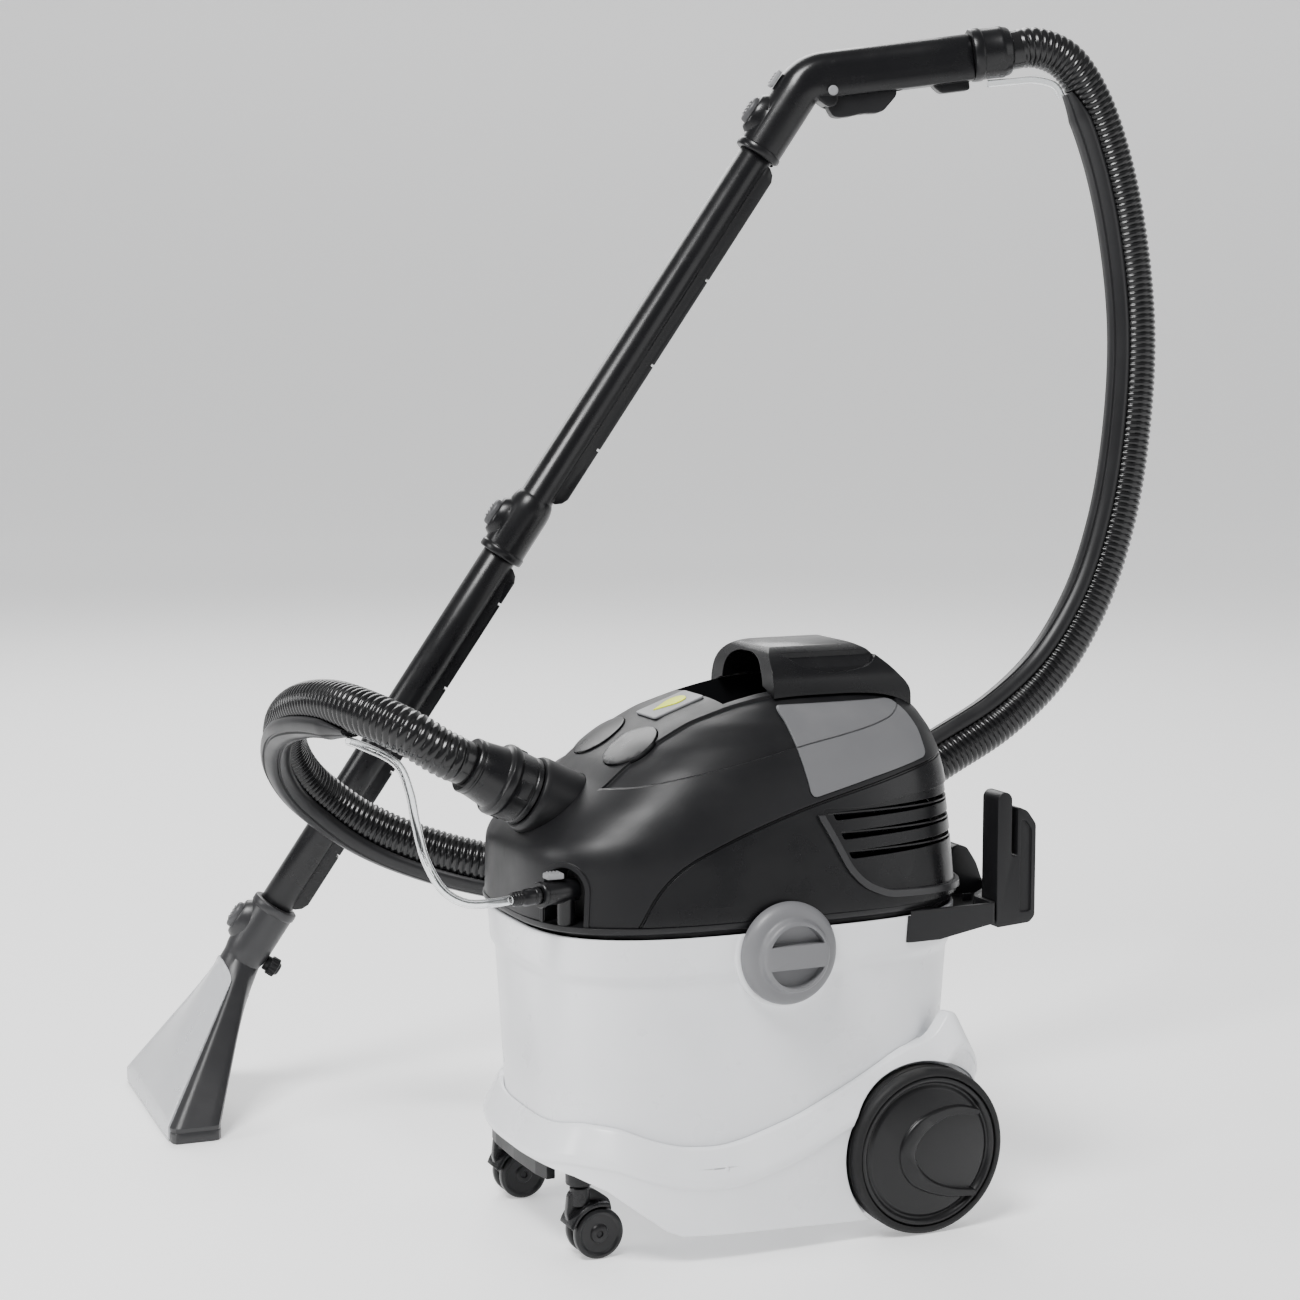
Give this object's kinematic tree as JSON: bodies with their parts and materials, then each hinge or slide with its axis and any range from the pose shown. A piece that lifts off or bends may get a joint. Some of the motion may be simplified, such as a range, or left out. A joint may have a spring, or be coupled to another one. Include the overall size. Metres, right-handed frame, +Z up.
{
  "type": "spot extractor",
  "caption": "Wheeled spray-extraction cleaner: white tank, black motor head, corrugated hose, two-part wand and clear-faced floor nozzle.",
  "frame": {"origin": "centre of the rigid pieces' bounding box, on the floor", "axes": "+Z up; -X is the front of the machine, where the hose port and casters are; +Y is the side on which the wand stands"},
  "size_m": [0.9222, 0.7056, 0.9893],
  "materials": {
    "white_plastic": "satin moulded plastic, very fine texture",
    "black_plastic": "fine spark-eroded texture, satin",
    "wheel_plastic": "smooth satin moulding",
    "satin_black": "smooth satin black",
    "grey_plastic": "fine-textured mid grey",
    "rubber": "matt soft rubber",
    "steel": "bright turned steel",
    "motor_can": "bare pressed can",
    "clear_plastic": "clear glossy plastic",
    "natural_plastic": "translucent natural polymer",
    "float_yellow": "glossy yellow-green"
  },
  "bodies": {
    "base": {"outer_tank": "white_plastic", "chassis": "white_plastic", "front_bumper": "black_plastic", "rear_axle": "steel", "rear_bracket": "black_plastic", "storage_hook_near": "black_plastic", "storage_hook_far": "black_plastic", "rim_seal": "rubber"},
    "wheel_near_body": {"wheel_near": "wheel_plastic", "tyre_near": "rubber"},
    "wheel_far_body": {"wheel_far": "wheel_plastic", "tyre_far": "rubber"},
    "caster_near": {"caster_fork_near": "black_plastic", "caster_axle_near": "steel"},
    "caster_near_wheels": {"caster_wheels_near": "wheel_plastic"},
    "caster_far": {"caster_fork_far": "black_plastic", "caster_axle_far": "steel"},
    "caster_far_wheels": {"caster_wheels_far": "wheel_plastic"},
    "knob_near": {"lock_knob_near": "grey_plastic", "lock_cam_near": "black_plastic"},
    "knob_far": {"lock_knob_far": "grey_plastic", "lock_cam_far": "black_plastic"},
    "container": {"liquid_container": "natural_plastic"},
    "head": {"head_base": "black_plastic", "head_front_shell": "black_plastic", "vent_housing": "satin_black", "side_panel_near": "grey_plastic", "side_panel_far": "grey_plastic", "carry_handle": "black_plastic", "hose_port": "black_plastic", "spray_elbow": "satin_black", "spray_plug": "satin_black", "cable_gland": "rubber", "suction_motor": "motor_can", "spray_pump": "black_plastic", "float_cage": "black_plastic", "intake_tube": "black_plastic", "hand_grip": "black_plastic", "trigger_pin": "steel", "hose": "black_plastic", "hose_strip": "black_plastic", "spray_line_front": "clear_plastic", "spray_line_rear": "clear_plastic"},
    "cuff": {"hose_cuff": "black_plastic"},
    "collar": {"hose_end_collar": "black_plastic"},
    "fan": {"fan_rotor": "natural_plastic"},
    "float": {"float_ball": "float_yellow"},
    "switch_near": {"suction_switch": "black_plastic"},
    "switch_far": {"spray_switch": "black_plastic"},
    "release": {"spray_release": "grey_plastic"},
    "trigger": {"spray_trigger": "satin_black"},
    "slider": {"air_slider": "grey_plastic"},
    "grip_latch": {"upper_latch": "grey_plastic"},
    "upper_wand": {"upper_tube": "black_plastic"},
    "tube_latch": {"middle_latch": "grey_plastic"},
    "lower_wand": {"lower_tube": "black_plastic"},
    "nozzle": {"nozzle_body": "satin_black", "nozzle_window": "clear_plastic", "spray_tip": "black_plastic"},
    "nozzle_button": {"nozzle_latch": "grey_plastic"}
  },
  "joints": [
    {"name": "wheel_spin_near", "type": "hinge", "parent": "base", "child": "wheel_near_body", "pos_m": [0.10001, -0.33477, 0.067], "axis": [0, 1, 0], "continuous": true},
    {"name": "wheel_spin_far", "type": "hinge", "parent": "base", "child": "wheel_far_body", "pos_m": [0.10001, -0.07078, 0.067], "axis": [0, 1, 0], "continuous": true},
    {"name": "caster_swivel_near", "type": "hinge", "parent": "base", "child": "caster_near", "pos_m": [-0.17199, -0.28277, 0.06], "axis": [0, 0, 1], "continuous": true},
    {"name": "caster_roll_near", "type": "hinge", "parent": "caster_near", "child": "caster_near_wheels", "pos_m": [-0.15999, -0.28277, 0.02], "axis": [0, 1, 0], "continuous": true},
    {"name": "caster_swivel_far", "type": "hinge", "parent": "base", "child": "caster_far", "pos_m": [-0.17199, -0.12278, 0.06], "axis": [0, 0, 1], "continuous": true},
    {"name": "caster_roll_far", "type": "hinge", "parent": "caster_far", "child": "caster_far_wheels", "pos_m": [-0.15999, -0.12278, 0.02], "axis": [0, 1, 0], "continuous": true},
    {"name": "knob_turn_near", "type": "hinge", "parent": "base", "child": "knob_near", "pos_m": [-0.01999, -0.33277, 0.236], "axis": [0, 1, 0], "range_deg": [0, 90]},
    {"name": "knob_turn_far", "type": "hinge", "parent": "base", "child": "knob_far", "pos_m": [-0.01999, -0.07278, 0.236], "axis": [0, 1, 0], "range_deg": [0, 90]},
    {"name": "head_lift", "type": "slide", "parent": "base", "child": "head", "axis": [0, 0, 1], "range_m": [0, 0.3]},
    {"name": "container_lift", "type": "slide", "parent": "base", "child": "container", "axis": [0, 0, 1], "range_m": [0, 0.135]},
    {"name": "cuff_swivel", "type": "hinge", "parent": "head", "child": "cuff", "pos_m": [-0.18399, -0.21277, 0.352], "axis": [-0.891, 0, 0.454], "continuous": true},
    {"name": "collar_swivel", "type": "hinge", "parent": "head", "child": "collar", "pos_m": [0.36497, 0.02662, 0.96486], "axis": [0.9458, -0.2974, 0.1305], "continuous": true},
    {"name": "fan_spin", "type": "hinge", "parent": "head", "child": "fan", "pos_m": [0.03801, -0.20278, 0.28], "axis": [0, 0, 1], "continuous": true},
    {"name": "float_rise", "type": "slide", "parent": "head", "child": "float", "axis": [0, 0, 1], "range_m": [0, 0.018]},
    {"name": "suction_switch_press", "type": "slide", "parent": "head", "child": "switch_near", "axis": [0.5708, 0, -0.8211], "range_m": [0, 0.004], "stiffness_N_per_m": 600},
    {"name": "spray_switch_press", "type": "slide", "parent": "head", "child": "switch_far", "axis": [0.5708, 0, -0.8211], "range_m": [0, 0.004], "stiffness_N_per_m": 600},
    {"name": "spray_release_press", "type": "slide", "parent": "head", "child": "release", "axis": [0, 0, -1], "range_m": [0, 0.0015], "stiffness_N_per_m": 400},
    {"name": "trigger_pull", "type": "hinge", "parent": "head", "child": "trigger", "pos_m": [0.22427, 0.07087, 0.92829], "axis": [-0.3, -0.9539, 0], "range_deg": [0, 7], "stiffness_Nm_per_rad": 0.3},
    {"name": "air_slide", "type": "slide", "parent": "head", "child": "slider", "axis": [0.5196, -0.1634, 0.8387], "range_m": [0, 0.008]},
    {"name": "grip_latch_press", "type": "slide", "parent": "head", "child": "grip_latch", "axis": [0.8, -0.2516, -0.5446], "range_m": [0, 0.0025], "stiffness_N_per_m": 600},
    {"name": "upper_tube_pull", "type": "slide", "parent": "head", "child": "upper_wand", "axis": [-0.5196, 0.1634, -0.8387], "range_m": [0, 0.04]},
    {"name": "tube_latch_press", "type": "slide", "parent": "upper_wand", "child": "tube_latch", "axis": [0.8, -0.2516, -0.5446], "range_m": [0, 0.0025], "stiffness_N_per_m": 600},
    {"name": "lower_tube_pull", "type": "slide", "parent": "upper_wand", "child": "lower_wand", "axis": [-0.5196, 0.1634, -0.8387], "range_m": [0, 0.04]},
    {"name": "nozzle_pull", "type": "slide", "parent": "lower_wand", "child": "nozzle", "axis": [-0.5196, 0.1634, -0.8387], "range_m": [0, 0.035]},
    {"name": "nozzle_latch_press", "type": "slide", "parent": "nozzle", "child": "nozzle_button", "axis": [0.8, -0.2516, -0.5446], "range_m": [0, 0.0025], "stiffness_N_per_m": 600}
  ],
  "couplings": [
    {"joint": "container_lift", "follows": "head_lift", "ratio": 0.45}
  ]
}
